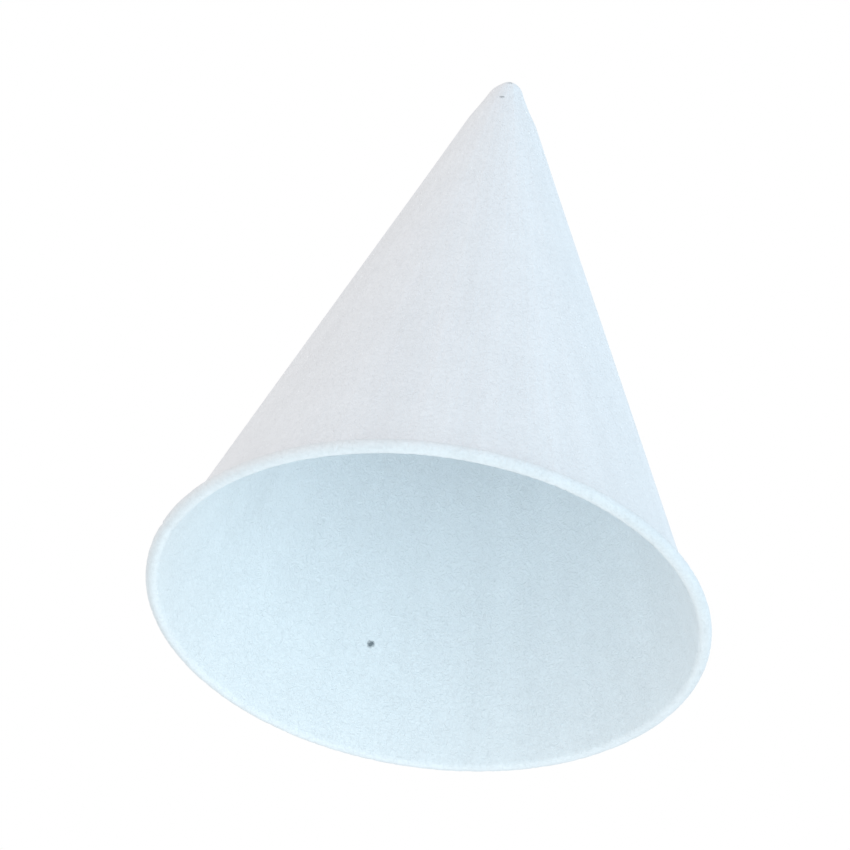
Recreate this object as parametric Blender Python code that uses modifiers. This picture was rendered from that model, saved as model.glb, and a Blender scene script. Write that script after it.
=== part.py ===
"""Cone paper cup.

One flat blank of white paper is wound round a cone for a little under one and a
half turns, so that it laps itself. The tip is pressed shut, and the free edge of
the mouth is rolled outward into a hollow bead.

Metres, +Z up. The cup stands mouth down on its rolled rim, as a cone has to. The
origin is the centre of the rim circle, on the surface that the cup stands on.
"""

import math

import bmesh
import bpy

# Overall size
RIM_DIAMETER = 0.072             # across the outside of the rolled rim
CUP_HEIGHT = 0.090               # from the underside of the rim to the top of the tip

# Paper and lap
PAPER_THICKNESS = 0.0002
GLUE_LINE = 0.00005              # between the two layers of the lap
LAP_ANGLE = math.radians(152)    # what the blank covers twice
RAMP_ANGLE = math.radians(28)    # where the outer layer climbs over the first edge
SEAM_ANGLE = math.radians(198)   # the blank's first edge, from +X towards +Y

# Rolled rim
ROLL_DIAMETER = 0.0018           # across the outside of the bead
ROLL_TURN = math.radians(285)    # how far the paper is rolled round
FOOT_ANGLE = math.radians(30)    # the level strip of the bead that the cup stands on

# Tip
NOSE_RADIUS = 0.0026             # to the middle of the inner layer
TIP_OPENING_RADIUS = 0.0006      # left at the centre of the winding
TIP_OVERLAP = 0.0004             # of the pressed tip over the edge of the winding
TIP_PROUD = 0.00006              # how far the pressed tip stands off the paper

# Fineness of the mesh
COLUMNS_PER_TURN = 64
NOSE_STEPS = 4
WALL_STEPS = 5
FLARE_STEPS = 2
CURL_STEPS = 7
TIP_COLUMNS = 16
TIP_STEPS = 3
MERGE_DISTANCE = 0.000001

# Paper's look
PAPER_COLOUR = (0.84, 0.86, 0.88, 1.0)
PAPER_ROUGHNESS = 0.8

LAYER_STEP = PAPER_THICKNESS + GLUE_LINE
ROLL_RADIUS = (ROLL_DIAMETER - PAPER_THICKNESS) / 2
ROLL_CENTRE = (
    (RIM_DIAMETER - ROLL_DIAMETER) / 2,
    ROLL_RADIUS * math.cos(FOOT_ANGLE / 2) + PAPER_THICKNESS / 2,
)
NOSE_CENTRE = (0, CUP_HEIGHT - TIP_PROUD - PAPER_THICKNESS / 2 - LAYER_STEP - NOSE_RADIUS)


def clear_scene():
    """Remove every object, so that the script gives the same scene each time."""
    for old in list(bpy.data.objects):
        bpy.data.objects.remove(old, do_unlink=True)


def wall_lean():
    """Angle between level and the line square to the wall.

    The straight wall touches the outside of the nose and the inside of the roll.
    """
    across = ROLL_CENTRE[0] - NOSE_CENTRE[0]
    down = NOSE_CENTRE[1] - ROLL_CENTRE[1]
    between = math.acos((NOSE_RADIUS + ROLL_RADIUS) / math.hypot(across, down))
    return between - math.atan2(down, across)


def arc(centre, radius, start, end, steps):
    """Points of an arc in the half section, as distance from the axis and height."""
    points = []
    for step in range(steps + 1):
        angle = start + (end - start) * step / steps
        points.append((centre[0] + radius * math.cos(angle), centre[1] + radius * math.sin(angle)))
    return points


def straight(start, end, steps):
    """Points between two others, without the two ends."""
    points = []
    for step in range(1, steps):
        share = step / steps
        points.append(tuple(a + (b - a) * share for a, b in zip(start, end)))
    return points


def half_section(offset):
    """Middle line of the paper, from the tip to the free edge inside the roll.

    The offset is how far the layer lies outside the first one. Outside the wall
    is inside the roll, so there the outer layer is wound tighter.
    """
    lean = wall_lean()
    nose_radius = NOSE_RADIUS + offset
    roll_radius = ROLL_RADIUS - offset
    tip_angle = math.acos(TIP_OPENING_RADIUS / nose_radius)
    roll_start = lean + math.pi
    foot = 1.5 * math.pi
    nose = arc(NOSE_CENTRE, nose_radius, tip_angle, lean, NOSE_STEPS)
    flare = arc(ROLL_CENTRE, roll_radius, roll_start, foot - FOOT_ANGLE / 2, FLARE_STEPS)
    curl = arc(ROLL_CENTRE, roll_radius, foot + FOOT_ANGLE / 2, roll_start + ROLL_TURN, CURL_STEPS)
    wall = straight(nose[-1], flare[0], WALL_STEPS)
    return nose + wall + flare + curl


def layer_offset(turned):
    """Offset of the paper after it has turned through an angle from the first edge."""
    climb = (turned - (math.tau - RAMP_ANGLE)) / RAMP_ANGLE
    return LAYER_STEP * min(max(climb, 0), 1)


def make_wound_blank():
    """Bend a flat grid round the cone: columns run down the wall, rows go round."""
    column_angle = math.tau / COLUMNS_PER_TURN
    columns = COLUMNS_PER_TURN + round(LAP_ANGLE / column_angle)
    sections = [half_section(layer_offset(column * column_angle)) for column in range(columns + 1)]
    rows = len(sections[0]) - 1

    blank = bmesh.new()
    bmesh.ops.create_grid(blank, x_segments=columns, y_segments=rows, size=1)
    for vertex in blank.verts:
        column = round((1 + vertex.co.x) / 2 * columns)
        row = round((1 - vertex.co.y) / 2 * rows)
        distance, height = sections[column][row]
        angle = SEAM_ANGLE + column * column_angle
        vertex.co = (distance * math.cos(angle), distance * math.sin(angle), height)
    mesh = bpy.data.meshes.new("cup")
    blank.to_mesh(mesh)
    blank.free()
    mesh.shade_smooth()
    return bpy.data.objects.new("cup", mesh)


def make_pressed_tip():
    """The disc of paper at the very tip, where the layers are pressed into one."""
    inner_radius = NOSE_RADIUS - PAPER_THICKNESS / 2 - TIP_PROUD
    outer_radius = NOSE_RADIUS + LAYER_STEP + PAPER_THICKNESS / 2 + TIP_PROUD
    edge_angle = math.acos((TIP_OPENING_RADIUS + TIP_OVERLAP) / outer_radius)
    outside = arc(NOSE_CENTRE, outer_radius, math.pi / 2, edge_angle, TIP_STEPS)
    inside = arc(NOSE_CENTRE, inner_radius, edge_angle, math.pi / 2, TIP_STEPS)
    points = [(distance, 0, height) for distance, height in outside + inside]

    mesh = bpy.data.meshes.new("pressed_tip")
    mesh.from_pydata(points, [(i, i + 1) for i in range(len(points) - 1)], [])
    tip = bpy.data.objects.new("pressed_tip", mesh)
    # Its edges fall halfway between the columns of the winding.
    tip.rotation_euler.z = SEAM_ANGLE + math.pi / COLUMNS_PER_TURN
    turn = tip.modifiers.new("Turn", "SCREW")
    turn.axis = "Z"
    turn.angle = math.tau
    turn.steps = TIP_COLUMNS
    turn.render_steps = TIP_COLUMNS
    turn.use_merge_vertices = True
    turn.merge_threshold = MERGE_DISTANCE
    return tip


def make_paper():
    """White, uncoated cup paper."""
    paper = bpy.data.materials.new("white_cup_paper")
    paper.use_nodes = True
    shader = paper.node_tree.nodes["Principled BSDF"]
    shader.inputs["Base Color"].default_value = PAPER_COLOUR
    shader.inputs["Roughness"].default_value = PAPER_ROUGHNESS
    shader.inputs["Metallic"].default_value = 0
    return paper


def make_collection(name):
    collection = bpy.data.collections.new(name)
    bpy.context.scene.collection.children.link(collection)
    return collection


def main():
    clear_scene()
    parts = make_collection("cone_paper_cup")
    helpers = make_collection("cone_paper_cup_helpers")

    tip = make_pressed_tip()
    tip.hide_render = True
    tip.display_type = "WIRE"
    helpers.objects.link(tip)

    cup = make_wound_blank()
    cup.data.materials.append(make_paper())
    parts.objects.link(cup)

    sheet = cup.modifiers.new("Paper", "SOLIDIFY")
    sheet.thickness = PAPER_THICKNESS
    sheet.offset = 0
    sheet.use_even_offset = True

    join = cup.modifiers.new("Tip", "BOOLEAN")
    join.operation = "UNION"
    join.solver = "EXACT"
    join.object = tip


main()
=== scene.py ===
"""Cone paper cup: the finished look of a white, rolled-rim paper cone cup.

The cup is wound here again from a flat blank, far finer than in the plain model
and on the same sizes, then dressed as bleached cup paper and set on a pale floor.
"""

import math

import bmesh
import bpy
from bpy.props import FloatProperty, FloatVectorProperty, IntProperty, PointerProperty
from bpy.types import Operator, Panel, PropertyGroup
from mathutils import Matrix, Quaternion, Vector, noise


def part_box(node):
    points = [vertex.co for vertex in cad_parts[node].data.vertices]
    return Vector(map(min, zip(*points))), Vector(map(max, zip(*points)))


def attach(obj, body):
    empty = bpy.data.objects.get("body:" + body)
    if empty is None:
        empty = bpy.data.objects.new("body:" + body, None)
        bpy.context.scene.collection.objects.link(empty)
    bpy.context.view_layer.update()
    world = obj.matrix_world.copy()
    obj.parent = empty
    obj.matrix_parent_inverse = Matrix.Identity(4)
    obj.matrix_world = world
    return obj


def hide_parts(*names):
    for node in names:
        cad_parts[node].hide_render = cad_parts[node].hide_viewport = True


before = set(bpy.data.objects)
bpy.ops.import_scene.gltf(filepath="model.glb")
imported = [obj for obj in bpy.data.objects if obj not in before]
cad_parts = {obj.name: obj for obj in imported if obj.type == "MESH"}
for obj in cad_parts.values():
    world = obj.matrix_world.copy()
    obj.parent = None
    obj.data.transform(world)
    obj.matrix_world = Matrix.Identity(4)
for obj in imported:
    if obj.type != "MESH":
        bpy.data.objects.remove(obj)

bl_info = {
    "name": "Cone Paper Cup",
    "version": (1, 0, 0),
    "blender": (4, 5, 0),
    "location": "3D View > Sidebar > Paper Cup",
    "description": "Winds a rolled-rim paper cone cup and lights it on a pale floor",
    "category": "Add Mesh",
}

MILLIMETRE = 0.001
CAD_NODE = "cup"

BOX_LOW, BOX_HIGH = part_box(CAD_NODE)
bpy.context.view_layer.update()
CUP_HEIGHT = BOX_HIGH.z - BOX_LOW.z
RIM_RADIUS = min(BOX_HIGH.x, BOX_HIGH.y, -BOX_LOW.x, -BOX_LOW.y)

# Mesh of the pressed tip. It is turned by a share of one of the winding's columns, so that no
# edge of the one lies on an edge of the other.
TIP_COLUMNS, TIP_STEPS = 96, 8
TIP_TURN_SHARE = 0.31
MERGE_DISTANCE = 0.001 * MILLIMETRE
SHARP_ANGLE = math.radians(40)

# Dark dots as bearing, height and radius of the dot. The two outside are painted shadow in
# the folds of the pressed tip, and the one inside is a speck of bark.
TIP_PAINTED_SHADOWS = (
    (math.radians(-83), CUP_HEIGHT - 1.4 * MILLIMETRE, 0.55 * MILLIMETRE),
    (math.radians(-100), CUP_HEIGHT - 5.4 * MILLIMETRE, 0.5 * MILLIMETRE),
)
SPECKS_INSIDE = ((math.radians(103.6), 13.8 * MILLIMETRE, 0.62 * MILLIMETRE),)

# Small dents in the tip as bearing, then distance from the axis, distance below the top,
# reach and depth in millimetres
DENTS = (
    (math.radians(-135), 1.9, 1.1, 1.9, 0.4),
    (math.radians(-60), 3.3, 5.5, 3.4, 0.3),
)


def linear_from_hex(code):
    """Linear colour, with alpha, of an sRGB hex value."""
    channels = [int(code[i:i + 2], 16) / 255 for i in (0, 2, 4)]
    linear = [c / 12.92 if c <= 0.04045 else ((c + 0.055) / 1.055) ** 2.4 for c in channels]
    return (*linear, 1.0)


class ConeCupSizes(PropertyGroup):
    """Real sizes of the wound cup."""

    paper_thickness: FloatProperty(
        name="Paper", description="Thickness of the cup paper",
        default=0.2 * MILLIMETRE, unit="LENGTH",
    )
    glue_line: FloatProperty(
        name="Glue line", description="Gap between the two layers of the lap",
        default=0.04 * MILLIMETRE, unit="LENGTH",
    )
    bead_diameter: FloatProperty(
        name="Bead", description="Outside diameter of the rolled rim's section",
        default=1.8 * MILLIMETRE, unit="LENGTH",
    )
    bead_gap: FloatProperty(
        name="Bead gap", description="Clear gap between the bead's free edge and the wall",
        default=0.05 * MILLIMETRE, unit="LENGTH",
    )
    nose_radius: FloatProperty(
        name="Nose", description="Radius of the blunt tip",
        default=2.6 * MILLIMETRE, unit="LENGTH",
    )
    tip_opening: FloatProperty(
        name="Tip opening", description="Radius that the winding leaves open at the tip",
        default=1.0 * MILLIMETRE, unit="LENGTH",
    )
    tip_overlap: FloatProperty(
        name="Tip overlap", description="How far the pressed tip covers the edge of the winding",
        default=0.35 * MILLIMETRE, unit="LENGTH",
    )
    tip_proud: FloatProperty(
        name="Tip proud", description="How far the pressed tip stands off the layers under it",
        default=0.02 * MILLIMETRE, unit="LENGTH",
    )
    tip_pinch: FloatProperty(
        name="Tip pinch", description="How far pressing draws the paper in just below the tip",
        default=0.3 * MILLIMETRE, unit="LENGTH",
    )
    tip_pleats: FloatProperty(
        name="Tip pleats", description="Depth of the small pleats that pressing leaves there",
        default=0.2 * MILLIMETRE, unit="LENGTH",
    )
    pinch_reach: FloatProperty(
        name="Pinch reach", description="How far below the pressed tip the pinch and the pleats run out",
        default=6.5 * MILLIMETRE, unit="LENGTH",
    )
    lap_angle: FloatProperty(
        name="Lap", description="What the blank covers twice",
        default=math.radians(152), subtype="ANGLE",
    )
    ramp_angle: FloatProperty(
        name="Ramp", description="Where the outer layer climbs over the blank's first edge",
        default=math.radians(24), subtype="ANGLE",
    )
    bead_ramp_angle: FloatProperty(
        name="Bead ramp", description="The same on the rolled rim, where the layers are pressed flush",
        default=math.radians(3), subtype="ANGLE",
    )
    seam_angle: FloatProperty(
        name="Seam", description="Bearing of the blank's first edge, from +X towards +Y",
        default=math.radians(198), subtype="ANGLE",
    )
    out_of_round: FloatProperty(
        name="Out of round", description="How far the mouth strays inward from a true circle",
        default=0.25 * MILLIMETRE, unit="LENGTH",
    )
    winding_ridges: FloatProperty(
        name="Winding ridges", description="Height of the faint ridges that run from tip to rim",
        default=0.3 * MILLIMETRE, unit="LENGTH",
    )
    ridge_fade: FloatProperty(
        name="Ridge fade", description="Height over which the stiff rim flattens the ridges",
        default=9 * MILLIMETRE, unit="LENGTH",
    )
    bead_crimp: FloatProperty(
        name="Bead crimp", description="Depth of the fine creases across the rolled rim",
        default=0.1 * MILLIMETRE, unit="LENGTH",
    )
    columns_per_turn: IntProperty(
        name="Columns", description="Mesh columns in one turn of the paper", default=512, min=32,
    )


class ConeCupColours(PropertyGroup):
    """Colours of the paper, the lamps and the floor."""

    paper_outside: FloatVectorProperty(
        name="Paper outside", description="Bleached paper, outer side",
        default=linear_from_hex("E9EEF2"), size=4, min=0, max=1, subtype="COLOR",
    )
    # The inner side is the same white paper, painted a little bluer and lighter as the cool light and
    # shade inside the mouth
    paper_inside: FloatVectorProperty(
        name="Paper inside", description="Bleached paper, inner side",
        default=linear_from_hex("ECF3F7"), size=4, min=0, max=1, subtype="COLOR",
    )
    # Also the colour of the two dots of painted shadow near the pressed tip
    speck: FloatVectorProperty(
        name="Speck", description="Dark fibre or bark speck in the paper",
        default=linear_from_hex("5E6A70"), size=4, min=0, max=1, subtype="COLOR",
    )
    floor: FloatVectorProperty(
        name="Floor", description="Plain pale floor",
        default=linear_from_hex("FBFBFB"), size=4, min=0, max=1, subtype="COLOR",
    )
    sky_light: FloatVectorProperty(
        name="Sky light", description="Light of the sky from the upper right",
        default=linear_from_hex("82D1FF"), size=4, min=0, max=1, subtype="COLOR",
    )
    wall_light: FloatVectorProperty(
        name="Wall light", description="Light sent back from a warm wall on the left",
        default=linear_from_hex("FFCCBE"), size=4, min=0, max=1, subtype="COLOR",
    )
    front_light: FloatVectorProperty(
        name="Front light", description="Light sent back from a pale surface in front and below",
        default=linear_from_hex("D1EEFF"), size=4, min=0, max=1, subtype="COLOR",
    )
    right_light: FloatVectorProperty(
        name="Right light", description="Light from the lower right",
        default=linear_from_hex("D0F2FF"), size=4, min=0, max=1, subtype="COLOR",
    )
    left_light: FloatVectorProperty(
        name="Left light", description="Light from the lower left",
        default=linear_from_hex("D7F5FF"), size=4, min=0, max=1, subtype="COLOR",
    )


def arc(centre, radius, start, end, steps):
    """Points of an arc in the half section, as distance from the axis and height."""
    points = []
    for step in range(steps + 1):
        angle = start + (end - start) * step / steps
        points.append((centre[0] + radius * math.cos(angle), centre[1] + radius * math.sin(angle)))
    return points


def straight(start, end, steps):
    """Points between two others, without the two ends."""
    points = []
    for step in range(1, steps):
        share = step / steps
        points.append(tuple(a + (b - a) * share for a, b in zip(start, end)))
    return points


def clamp(value):
    """The value, held between 0 and 1."""
    return min(max(value, 0), 1)


def eased(share):
    """A share from 0 to 1 that starts and ends gently."""
    return share * share * (3 - 2 * share)


def waver(angle, cells, layer=0):
    """Smooth noise from -1 to 1 at a bearing, with so many cells in each radian of the turn.

    Patterns on different layers do not follow each other.
    """
    around = Vector((math.cos(angle), math.sin(angle), 0))
    return noise.noise(around * cells + Vector((0, 0, layer)))


class Winding:
    """Works out where each point of the flat blank lies once it is wound and rolled."""

    NOSE_STEPS, WALL_STEPS, BEAD_STEPS = 8, 30, 20

    # Rolled rim: a narrow crease about every 3 degrees, and soft pillows of about 6 degrees
    CREASE_CELLS, PILLOW_CELLS = 22, 9
    CREASE_WIDTH_SHARE = 0.12
    CREASE_SHARE, PILLOW_SHARE = 0.55, 0.45

    # Mouth out of round: lobes in a turn, their share of it, and their phase in radians
    LOBES = ((2, 0.6, 0.7), (3, 0.4, 2.1))

    # Ridges from tip to rim, broad ones of about 16 degrees and fine ones of about 4. They drift
    # sideways by so many cells in a metre of height, and die out over the top quarter.
    BROAD_CELLS, FINE_CELLS = 3.5, 13
    BROAD_SHARE, FINE_SHARE = 0.7, 0.3
    BROAD_DRIFT, FINE_DRIFT = 9, 4
    RIDGE_TOP_SHARE = 0.25

    # Below the tip: pleats of about 22 degrees. The pinch is deepest a third of the way down its
    # reach, where this factor makes it whole.
    PLEAT_CELLS = 2.6
    PINCH_FACTOR = 27 / 4

    PLEAT_LAYER, PILLOW_LAYER = 3, 5

    def __init__(self, sizes):
        self.sizes = sizes
        self.layer_step = sizes.paper_thickness + sizes.glue_line
        self.bead_radius = (sizes.bead_diameter - sizes.paper_thickness) / 2
        self.bead_centre = (RIM_RADIUS - sizes.bead_diameter / 2, sizes.bead_diameter / 2)
        # The second layer, the tip's paper and a little clearance lie above the first layer
        above = 1.5 * sizes.paper_thickness + self.layer_step
        self.nose_centre = (0, CUP_HEIGHT - above - sizes.nose_radius)
        self.tip_edge = sizes.tip_opening + sizes.tip_overlap
        edge_up = math.sqrt(sizes.nose_radius ** 2 - self.tip_edge ** 2)
        self.tip_edge_height = self.nose_centre[1] + edge_up
        across = self.bead_centre[0] - self.nose_centre[0]
        down = self.nose_centre[1] - self.bead_centre[1]
        between = math.acos((sizes.nose_radius + self.bead_radius) / math.hypot(across, down))
        self.lean = between - math.atan2(down, across)
        self.column_angle = math.tau / sizes.columns_per_turn
        self.columns = sizes.columns_per_turn + round(sizes.lap_angle / self.column_angle)
        self.rows = self.NOSE_STEPS + self.WALL_STEPS + self.BEAD_STEPS

    def layer_offset(self, turned, ramp):
        """How far outside the first layer the paper lies after it has turned so far."""
        return self.layer_step * eased(clamp((turned - (math.tau - ramp)) / ramp))

    def covered(self, turned):
        """1 where the outer layer lies over the first one, and 0 past the end of the lap."""
        return 1 - clamp((turned - self.sizes.lap_angle) / self.sizes.bead_ramp_angle)

    def half_section(self, turned, bead_squeeze):
        """Middle line of the paper, from the tip to the free edge inside the bead."""
        nose_radius = self.sizes.nose_radius + self.layer_offset(turned, self.sizes.ramp_angle)
        bead_offset = self.layer_offset(turned, self.sizes.bead_ramp_angle)
        bead_radius = self.bead_radius - bead_offset - bead_squeeze
        tip_angle = math.acos(self.sizes.tip_opening / nose_radius)
        bead_start = self.lean + math.pi
        # The wall leaves the bead in a straight line, and the free edge stops just short of it
        clear = self.sizes.paper_thickness + self.sizes.bead_gap + self.layer_step * self.covered(turned)
        bead_end = bead_start + math.tau - math.acos(1 - clear / bead_radius)
        nose = arc(self.nose_centre, nose_radius, tip_angle, self.lean, self.NOSE_STEPS)
        bead = arc(self.bead_centre, bead_radius, bead_start, bead_end, self.BEAD_STEPS)
        return nose + straight(nose[-1], bead[0], self.WALL_STEPS) + bead

    def crimp(self, angle):
        """How much tighter the bead is rolled at a bearing: narrow creases between soft pillows."""
        crease = max(0, 1 - abs(waver(angle, self.CREASE_CELLS)) / self.CREASE_WIDTH_SHARE)
        pillow = 0.5 + 0.5 * waver(angle, self.PILLOW_CELLS, self.PILLOW_LAYER)
        return self.sizes.bead_crimp * (self.CREASE_SHARE * crease + self.PILLOW_SHARE * pillow)

    def inward(self, angle, height):
        """How far the paper lies inside the true cone at a bearing and a height."""
        down_share = 1 - height / CUP_HEIGHT
        lobes = sum(share * math.cos(count * angle + phase) for count, share, phase in self.LOBES)
        oval = self.sizes.out_of_round * (1 - lobes) / 2 * down_share

        broad = self.BROAD_SHARE * waver(angle, self.BROAD_CELLS, height * self.BROAD_DRIFT)
        fine = self.FINE_SHARE * waver(angle, self.FINE_CELLS, height * self.FINE_DRIFT)
        fade = min(down_share / self.RIDGE_TOP_SHARE, 1) * min(height / self.sizes.ridge_fade, 1)
        ridge = self.sizes.winding_ridges * (0.5 + 0.5 * (broad + fine)) * fade

        below_tip = clamp((self.tip_edge_height - height) / self.sizes.pinch_reach)
        neck = self.PINCH_FACTOR * below_tip * (1 - below_tip) ** 2
        pleat = 0.5 + 0.5 * waver(angle, self.PLEAT_CELLS, self.PLEAT_LAYER)
        return oval + ridge + (self.sizes.tip_pinch + self.sizes.tip_pleats * pleat) * neck

    def fit_tip(self, mesh):
        """Press the tip disc's outer side down where only one layer lies under its edge.

        The disc is turned to the seam, so its own bearing starts from the first edge.
        """
        centre = Vector((0, 0, self.nose_centre[1]))
        for vertex in mesh.vertices:
            reach = vertex.co - centre
            if reach.length < self.sizes.nose_radius:
                continue
            bearing = math.atan2(reach.y, reach.x) % math.tau
            past_lap = bearing - self.sizes.lap_angle
            before_seam = math.tau - bearing
            single = clamp(min(past_lap, before_seam) / self.sizes.ramp_angle)
            outward = min(math.hypot(reach.x, reach.y) / self.tip_edge, 1)
            press = self.layer_step * eased(single) * outward
            vertex.co = centre + reach * (1 - press / reach.length)

    def on_wall(self, bearing, height, radius):
        """A dot on the wall: its centre, from a bearing and a height, and its own radius."""
        top_height = self.nose_centre[1] + self.sizes.nose_radius * math.sin(self.lean)
        top_distance = self.nose_centre[0] + self.sizes.nose_radius * math.cos(self.lean)
        if height < top_height:
            distance = top_distance + (top_height - height) * math.tan(self.lean)
        else:
            up = height - self.nose_centre[1]
            distance = math.sqrt(max(self.sizes.nose_radius ** 2 - up ** 2, 0))
        distance -= self.inward(bearing, height)
        return (distance * math.cos(bearing), distance * math.sin(bearing), height), radius

    def bend(self, mesh):
        """Move the vertices of a flat grid, 2 across and centred, to where the blank's lie."""
        turned = [column * self.column_angle for column in range(self.columns + 1)]
        bearings = [self.sizes.seam_angle + angle for angle in turned]
        sections = [self.half_section(angle, self.crimp(way)) for angle, way in zip(turned, bearings)]
        for vertex in mesh.verts:
            column = round((1 + vertex.co.x) / 2 * self.columns)
            row = round((1 - vertex.co.y) / 2 * self.rows)
            distance, height = sections[column][row]
            bearing = bearings[column]
            distance -= self.inward(bearing, height)
            vertex.co = (distance * math.cos(bearing), distance * math.sin(bearing), height)


def wound_blank(winding):
    """The sheet without thickness: a flat grid bent round the cone."""
    blank = bmesh.new()
    bmesh.ops.create_grid(blank, x_segments=winding.columns, y_segments=winding.rows, size=1)
    winding.bend(blank)
    mesh = bpy.data.meshes.new("paper_cup")
    blank.to_mesh(mesh)
    blank.free()
    cup = bpy.data.objects.new("paper_cup", mesh)
    bpy.context.scene.collection.objects.link(cup)
    return cup


def pressed_tip(winding):
    """The disc at the very tip, where the layers are pressed into one."""
    sizes = winding.sizes
    cover = sizes.paper_thickness / 2 + sizes.tip_proud
    inner = sizes.nose_radius - cover
    outer = sizes.nose_radius + winding.layer_step + cover
    edge = math.acos(winding.tip_edge / outer)
    outside = arc(winding.nose_centre, outer, math.pi / 2, edge, TIP_STEPS)
    inside = arc(winding.nose_centre, inner, edge, math.pi / 2, TIP_STEPS)
    mesh = bpy.data.meshes.new("pressed_tip")
    points = [(distance, 0, height) for distance, height in outside + inside]
    mesh.from_pydata(points, [(i, i + 1) for i in range(len(points) - 1)], [])
    tip = bpy.data.objects.new("pressed_tip", mesh)
    bpy.context.scene.collection.objects.link(tip)
    turn = tip.modifiers.new("Turn", "SCREW")
    turn.steps = turn.render_steps = TIP_COLUMNS
    turn.use_merge_vertices = True
    turn.merge_threshold = MERGE_DISTANCE
    freeze(tip)
    winding.fit_tip(tip.data)
    tip.rotation_euler.z = sizes.seam_angle + TIP_TURN_SHARE * winding.column_angle
    return tip


def press_dents(mesh):
    """Push both faces of the paper in together where the tip was knocked."""
    for bearing, *lengths in DENTS:
        distance, below_top, reach, depth = (length * MILLIMETRE for length in lengths)
        height = CUP_HEIGHT - below_top
        centre = Vector((distance * math.cos(bearing), distance * math.sin(bearing), height))
        towards = (Vector((0, 0, height)) - centre).normalized()
        for vertex in mesh.vertices:
            share = clamp(1 - (vertex.co - centre).length / reach)
            vertex.co += towards * depth * eased(share)


def freeze(piece):
    """Replace the piece's mesh by what its modifiers make of it."""
    graph = bpy.context.evaluated_depsgraph_get()
    made = bpy.data.meshes.new_from_object(piece.evaluated_get(graph), depsgraph=graph)
    old = piece.data
    piece.modifiers.clear()
    piece.data = made
    bpy.data.meshes.remove(old)


def add_node(tree, kind, settings=None, **links):
    """Add a shader node: settings go on it or its sockets, links name what feeds its sockets."""
    node = tree.nodes.new(kind)
    for name, value in (settings or {}).items():
        if isinstance(name, str) and hasattr(node, name):
            setattr(node, name, value)
        else:
            node.inputs[name].default_value = value
    for name, source in links.items():
        key = int(name[1:]) if name[1:].isdigit() else name.replace("_", " ")
        tree.links.new(source, node.inputs[key])
    return node


# Grain of the paper's patterns. Real fibres are 0.03 mm wide, and are drawn about twenty times
# coarser so that they show. The streaks come out about 3 mm wide at the rim.
CLOUD_GRAIN = 5 * MILLIMETRE
STREAK_GRAIN = 6 * MILLIMETRE
FIBRE_GRAIN = 0.6 * MILLIMETRE

# How much the streaks change on their way from tip to rim, as a share of the height
STREAK_DRIFT_SHARE = 0.06

# Where the rim's painted shade starts and is full, as shares of the bead in from its outside,
# and how dark it leaves the paper
RIM_PAINTED_SHADE_SHARES = (0.7, 0.3)
RIM_PAINTED_SHADE = 0.91

# How far a dot's outline strays, the share of its radius that is full dark, and how much of
# the paper's colour it covers there, for the speck of bark and the dots of painted shadow alike
SPECK_AND_SHADOW_STRAY = 0.8 * MILLIMETRE
SPECK_AND_SHADOW_CORE_SHARE = 0.4
SPECK_AND_SHADOW_COVER = 0.9


def drawn_streaks(tree, place, outward):
    """Streaks from tip to rim, left where the sheet was drawn round the cone.

    Their noise is read on the rim's circle, so that they narrow towards the tip.
    """
    around = add_node(tree, "ShaderNodeVectorMath", {"operation": "NORMALIZE"}, _0=outward)
    on_rim = add_node(
        tree, "ShaderNodeVectorMath", {"operation": "SCALE", "Scale": RIM_RADIUS},
        _0=around.outputs["Vector"],
    )
    drift = add_node(
        tree, "ShaderNodeVectorMath", {"operation": "MULTIPLY", 1: (0, 0, STREAK_DRIFT_SHARE)},
        _0=place,
    )
    along = add_node(
        tree, "ShaderNodeVectorMath", {"operation": "ADD"},
        _0=on_rim.outputs["Vector"], _1=drift.outputs["Vector"],
    )
    return add_node(
        tree, "ShaderNodeTexNoise", {"Scale": 1 / STREAK_GRAIN, "Detail": 3.0},
        Vector=along.outputs["Vector"],
    )


def painted_rim_shade(tree, outward, bead_diameter):
    """Painted shade on the rolled rim's outer half, for the shadow of rolling creases too fine to draw.
    """
    from_axis = add_node(tree, "ShaderNodeVectorMath", {"operation": "LENGTH"}, _0=outward)
    start, full = (RIM_RADIUS - share * bead_diameter for share in RIM_PAINTED_SHADE_SHARES)
    shade = add_node(
        tree, "ShaderNodeMapRange",
        {"From Min": start, "From Max": full, "To Min": 1.0, "To Max": RIM_PAINTED_SHADE},
        Value=from_axis.outputs["Value"],
    )
    return shade.outputs["Result"]


def bark_specks_and_tip_shadows(tree, place, fibres, specks_and_shadow_dots):
    """How much the dark dots cover at each place: ragged dots, each of its own size. Inside, a
    dot is a speck of bark; the two outside, near the tip, are painted shadow of the tip's folds.
    """
    strayed = add_node(
        tree, "ShaderNodeVectorMath", {"operation": "SUBTRACT", 1: (0.5, 0.5, 0.5)},
        _0=fibres.outputs["Color"],
    )
    stray = add_node(
        tree, "ShaderNodeVectorMath", {"operation": "SCALE", "Scale": SPECK_AND_SHADOW_STRAY},
        _0=strayed.outputs["Vector"],
    )
    ragged = add_node(
        tree, "ShaderNodeVectorMath", {"operation": "ADD"}, _0=place, _1=stray.outputs["Vector"],
    )
    mask = None
    for centre, radius in specks_and_shadow_dots:
        reach = add_node(
            tree, "ShaderNodeVectorMath", {"operation": "DISTANCE", 1: centre},
            _0=ragged.outputs["Vector"],
        )
        core = SPECK_AND_SHADOW_CORE_SHARE * radius
        dot = add_node(
            tree, "ShaderNodeMapRange",
            {"From Min": core, "From Max": radius, "To Min": SPECK_AND_SHADOW_COVER, "To Max": 0.0},
            Value=reach.outputs["Value"],
        ).outputs["Result"]
        if mask:
            dot = add_node(tree, "ShaderNodeMath", {"operation": "MAXIMUM"}, _0=mask, _1=dot).outputs[0]
        mask = dot
    return mask


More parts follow.
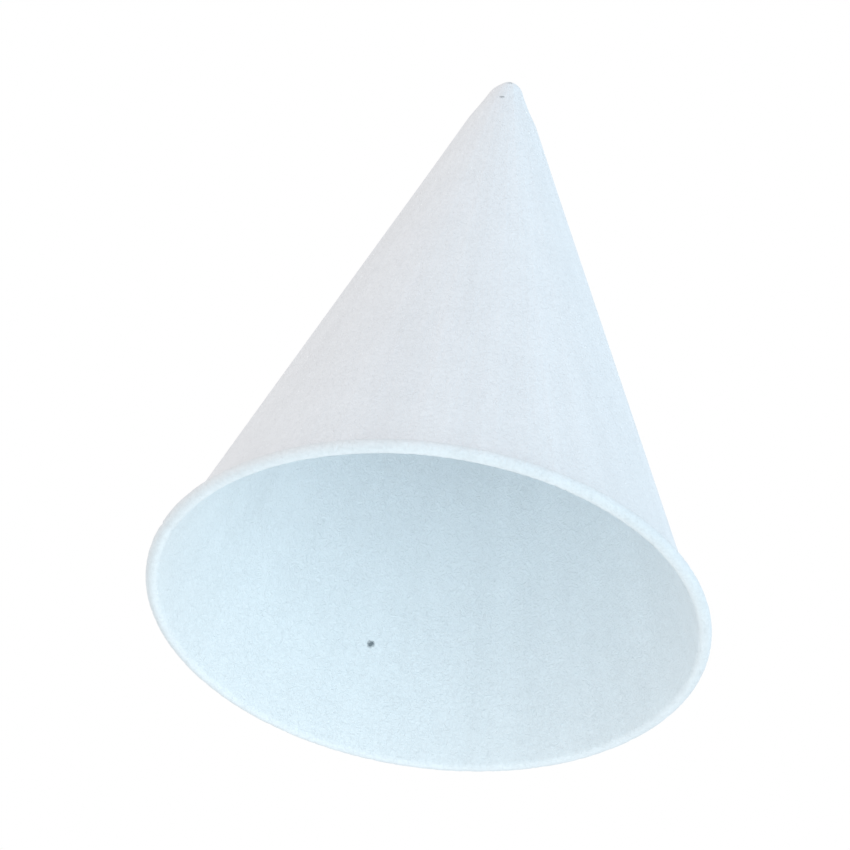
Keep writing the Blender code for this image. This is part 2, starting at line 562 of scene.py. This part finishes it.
def bleached_cup_paper(name, colour, speck_and_shadow_colour, specks_and_shadow_dots, bead_diameter):
    """Bleached, uncoated cup paper: a soft matt white with a faint cloudy look-through.

    The fibre mat gives the eye a fine dry tooth, the uneven pulp a cloudy tone, the
    winding faint streaks from tip to rim; a speck of bark shows as a tiny grey dot, and so
    does painted shadow in the folds of the pressed tip. The rolled rim's outer half is
    darkened with painted shade for rolling creases too fine to draw.
    """
    paper = bpy.data.materials.new(name)
    paper.use_nodes = True
    tree = paper.node_tree
    shader = tree.nodes["Principled BSDF"]
    shader.inputs["Metallic"].default_value = 0
    shader.inputs["IOR"].default_value = 1.5
    shader.inputs["Specular IOR Level"].default_value = 0.3
    place = add_node(tree, "ShaderNodeTexCoord").outputs["Object"]
    outward = add_node(
        tree, "ShaderNodeVectorMath", {"operation": "MULTIPLY", 1: (1, 1, 0)}, _0=place,
    ).outputs["Vector"]

    clouds = add_node(
        tree, "ShaderNodeTexNoise", {"Scale": 1 / CLOUD_GRAIN, "Detail": 4.0}, Vector=place,
    )
    streaks = drawn_streaks(tree, place, outward)
    fibres = add_node(
        tree, "ShaderNodeTexNoise",
        {"Scale": 1 / FIBRE_GRAIN, "Detail": 3.0, "Roughness": 0.65, "Distortion": 1.5},
        Vector=place,
    )

    # Each pattern makes the paper a few hundredths darker and lighter
    # The tone starts from the painted shade on the rim's outer half
    tone = painted_rim_shade(tree, outward, bead_diameter)
    for pattern, darkest, lightest in (
        (clouds, 0.985, 1.01), (streaks, 0.97, 1.015), (fibres, 0.975, 1.02),
    ):
        shade = add_node(
            tree, "ShaderNodeMapRange",
            {"From Min": 0.3, "From Max": 0.7, "To Min": darkest, "To Max": lightest},
            Value=pattern.outputs["Fac"],
        )
        tone = add_node(
            tree, "ShaderNodeMath", {"operation": "MULTIPLY"}, _0=tone, _1=shade.outputs["Result"],
        ).outputs["Value"]
    mottled = add_node(
        tree, "ShaderNodeVectorMath", {"operation": "SCALE", 0: colour[:3]}, Scale=tone,
    )
    # A Mix node takes its two colours at sockets 6 and 7, and gives the mixed one at 2
    mix = add_node(
        tree, "ShaderNodeMix", {"data_type": "RGBA", 7: speck_and_shadow_colour},
        _0=bark_specks_and_tip_shadows(tree, place, fibres, specks_and_shadow_dots), _6=mottled.outputs["Vector"],
    )
    tree.links.new(mix.outputs[2], shader.inputs["Base Color"])

    # A dry tooth from the fibres, low waves from the clouds and fine ridges from the streaks,
    # each with its strength and its height in millimetres
    under = {}
    for pattern, strength, height in ((fibres, 1.0, 0.16), (clouds, 0.6, 0.12), (streaks, 0.7, 0.15)):
        relief = add_node(
            tree, "ShaderNodeBump", {"Strength": strength, "Distance": height * MILLIMETRE},
            Height=pattern.outputs["Fac"], **under,
        )
        under = {"Normal": relief.outputs["Normal"]}
    tree.links.new(under["Normal"], shader.inputs["Normal"])
    rough = add_node(
        tree, "ShaderNodeMapRange", {"To Min": 0.72, "To Max": 0.88}, Value=fibres.outputs["Fac"],
    )
    tree.links.new(rough.outputs["Result"], shader.inputs["Roughness"])
    return paper


class PAPERCUP_OT_wind(Operator):
    """Wind the cup from a flat blank, roll its rim, press its tip and dress it as paper."""

    bl_idname = "papercup.wind"
    bl_label = "Wind Cone Cup"
    bl_options = {"REGISTER", "UNDO"}

    def execute(self, context):
        sizes = context.scene.cone_cup_sizes
        colours = context.scene.cone_cup_colours
        winding = Winding(sizes)
        cup = wound_blank(winding)
        sheet = cup.modifiers.new("Paper", "SOLIDIFY")
        sheet.thickness = sizes.paper_thickness
        sheet.offset = 0
        sheet.use_even_offset = True
        sheet.material_offset = 1
        tip = pressed_tip(winding)
        join = cup.modifiers.new("Tip", "BOOLEAN")
        join.operation = "UNION"
        join.object = tip
        # The inner side's colour carries a painted cool tint for the light and shade inside the mouth
        for side, colour, places in (
            ("outside", colours.paper_outside, TIP_PAINTED_SHADOWS),
            ("inside", colours.paper_inside, SPECKS_INSIDE),
        ):
            # Outside, these dots are painted shadow near the tip; inside, a speck of bark
            specks_and_shadow_dots = [winding.on_wall(*place) for place in places]
            cup.data.materials.append(bleached_cup_paper(
                "bleached_paper_" + side, colour, colours.speck, specks_and_shadow_dots, sizes.bead_diameter))
        freeze(cup)
        bpy.data.objects.remove(tip)
        press_dents(cup.data)
        cup.data.shade_smooth()
        cup.data.set_sharp_from_angle(angle=SHARP_ANGLE)
        if not cup.data.polygons:
            raise RuntimeError("the cup has no faces")
        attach(cup, "root")
        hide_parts(CAD_NODE)
        return {"FINISHED"}


# Camera, from the shape of the mouth's ellipse and the lean of the cone in the photograph. The
# lens and the sensor are in millimetres, all other lengths in metres.
VIEW_TO_AXIS = math.radians(56)
VIEW_DISTANCE = 0.522
AXIS_LEAN = math.radians(9)
AIM = Vector((-0.004, 0, 0.030))
LENS = 176
SENSOR = 36
FLOOR_HALF_WIDTH = 4

# Strength of the white surroundings
AMBIENT = 0.82

# Lamps as name, place, share of the cup's height aimed at, width, power in watts and tint. They
# stand far off, so that the floor is lit evenly.
LAMPS = (
    ("window", (2.55, -1.8, 1.5), 0.5, 2.1, 18.4, "sky_light"),
    ("wall", (-2.4, -1.8, 1.05), 0.5, 2.4, 12.4, "wall_light"),
    ("low_front", (0.66, -1.5, -2.25), 0.1, 2.1, 11.2, "front_light"),
    ("low_right", (2.25, -1.05, -1.35), 0.1, 1.8, 20.2, "right_light"),
    ("low_left", (-1.5, -1.2, -2.1), 0.1, 1.8, 9.5, "left_light"),
)


def stage_camera(context):
    """A long lens that looks up into the mouth, as the photograph does."""
    sight = Vector((0, math.sin(VIEW_TO_AXIS), math.cos(VIEW_TO_AXIS)))
    camera = bpy.data.objects.new("camera", bpy.data.cameras.new("camera"))
    context.scene.collection.objects.link(camera)
    camera.data.lens = LENS
    camera.data.sensor_width = SENSOR
    camera.location = -sight * VIEW_DISTANCE
    aim = (AIM - camera.location).normalized()
    roll = Quaternion((0, 0, 1), AXIS_LEAN)
    camera.rotation_mode = "QUATERNION"
    camera.rotation_quaternion = aim.to_track_quat("-Z", "Y") @ roll
    context.scene.camera = camera


def stage_lamp(context, name, place, aim, size, power, colour):
    """A soft square lamp that faces a point."""
    lamp = bpy.data.objects.new(name, bpy.data.lights.new(name, "AREA"))
    context.scene.collection.objects.link(lamp)
    lamp.data.size = size
    lamp.data.energy = power
    lamp.data.color = colour[:3]
    lamp.location = place
    lamp.rotation_mode = "QUATERNION"
    lamp.rotation_quaternion = (Vector(aim) - Vector(place)).to_track_quat("-Z", "Y")


def rays_that_show(tree):
    """A socket that is 1 for what the camera sees, straight on or in a reflection or a glass."""
    path = add_node(tree, "ShaderNodeLightPath").outputs
    mirrored = add_node(
        tree, "ShaderNodeMath", {"operation": "MAXIMUM"},
        _0=path["Is Glossy Ray"], _1=path["Is Transmission Ray"],
    )
    shown = add_node(
        tree, "ShaderNodeMath", {"operation": "MAXIMUM"},
        _0=path["Is Camera Ray"], _1=mirrored.outputs["Value"],
    )
    return shown.outputs["Value"]


def pale_floor(colour):
    """Matt painted board, pale and even, that shows only from above.

    The white surroundings give the cup the light that a pale floor would send back.
    """
    paint = bpy.data.materials.new("pale_matt_paint")
    paint.use_nodes = True
    tree = paint.node_tree
    shader = tree.nodes["Principled BSDF"]
    shader.inputs["Base Color"].default_value = colour
    shader.inputs["Roughness"].default_value = 0.9
    shader.inputs["Specular IOR Level"].default_value = 0.2
    under = add_node(tree, "ShaderNodeNewGeometry").outputs["Backfacing"]
    clear = add_node(tree, "ShaderNodeBsdfTransparent")
    from_above = add_node(
        tree, "ShaderNodeMath", {"operation": "SUBTRACT", "use_clamp": True},
        _0=rays_that_show(tree), _1=under,
    )
    mix = add_node(
        tree, "ShaderNodeMixShader", {},
        _0=from_above.outputs[0], _1=clear.outputs["BSDF"], _2=shader.outputs["BSDF"],
    )
    tree.links.new(mix.outputs[0], tree.nodes["Material Output"].inputs["Surface"])
    return paint


def stage_floor(context, colour):
    """A pale floor under the rim."""
    board = bmesh.new()
    bmesh.ops.create_grid(board, x_segments=1, y_segments=1, size=FLOOR_HALF_WIDTH)
    mesh = bpy.data.meshes.new("floor")
    board.to_mesh(mesh)
    board.free()
    mesh.materials.append(pale_floor(colour))
    floor = bpy.data.objects.new("floor", mesh)
    context.scene.collection.objects.link(floor)


def stage_world(context):
    """White to the camera, and a soft neutral light to everything else."""
    world = bpy.data.worlds.new("soft_white")
    context.scene.world = world
    world.use_nodes = True
    tree = world.node_tree
    ambient = tree.nodes["Background"]
    ambient.inputs["Color"].default_value = (1, 1, 1, 1)
    ambient.inputs["Strength"].default_value = AMBIENT
    white = add_node(tree, "ShaderNodeBackground", {"Color": (1, 1, 1, 1), "Strength": 1.0})
    mix = add_node(
        tree, "ShaderNodeMixShader", {},
        _0=rays_that_show(tree), _1=ambient.outputs[0], _2=white.outputs[0],
    )
    tree.links.new(mix.outputs[0], tree.nodes["World Output"].inputs["Surface"])


class PAPERCUP_OT_stage(Operator):
    """Set the floor, the background, the lamps and the camera."""

    bl_idname = "papercup.stage"
    bl_label = "Set Stage"
    bl_options = {"REGISTER", "UNDO"}

    def execute(self, context):
        colours = context.scene.cone_cup_colours
        context.scene.view_settings.view_transform = "Standard"
        stage_world(context)
        stage_floor(context, colours.floor)
        for name, place, aim_share, size, power, tint in LAMPS:
            aim = (0, 0, aim_share * CUP_HEIGHT)
            stage_lamp(context, name, place, aim, size, power, getattr(colours, tint))
        stage_camera(context)
        return {"FINISHED"}


class PAPERCUP_PT_panel(Panel):
    """Sizes, colours and steps of the cone cup."""

    bl_idname = "PAPERCUP_PT_panel"
    bl_label = "Cone Paper Cup"
    bl_space_type = "VIEW_3D"
    bl_region_type = "UI"
    bl_category = "Paper Cup"

    def draw(self, context):
        layout = self.layout
        for group in (context.scene.cone_cup_sizes, context.scene.cone_cup_colours):
            column = layout.column(align=True)
            for name in type(group).__annotations__:
                column.prop(group, name)
        layout.operator(PAPERCUP_OT_wind.bl_idname)
        layout.operator(PAPERCUP_OT_stage.bl_idname)


CLASSES = (ConeCupSizes, ConeCupColours, PAPERCUP_OT_wind, PAPERCUP_OT_stage, PAPERCUP_PT_panel)


def register():
    for cls in CLASSES:
        bpy.utils.register_class(cls)
    bpy.types.Scene.cone_cup_sizes = PointerProperty(type=ConeCupSizes)
    bpy.types.Scene.cone_cup_colours = PointerProperty(type=ConeCupColours)


def unregister():
    del bpy.types.Scene.cone_cup_sizes
    del bpy.types.Scene.cone_cup_colours
    for cls in reversed(CLASSES):
        bpy.utils.unregister_class(cls)


def main():
    register()
    bpy.ops.papercup.wind()
    bpy.ops.papercup.stage()


if __name__ == "__main__":
    main()
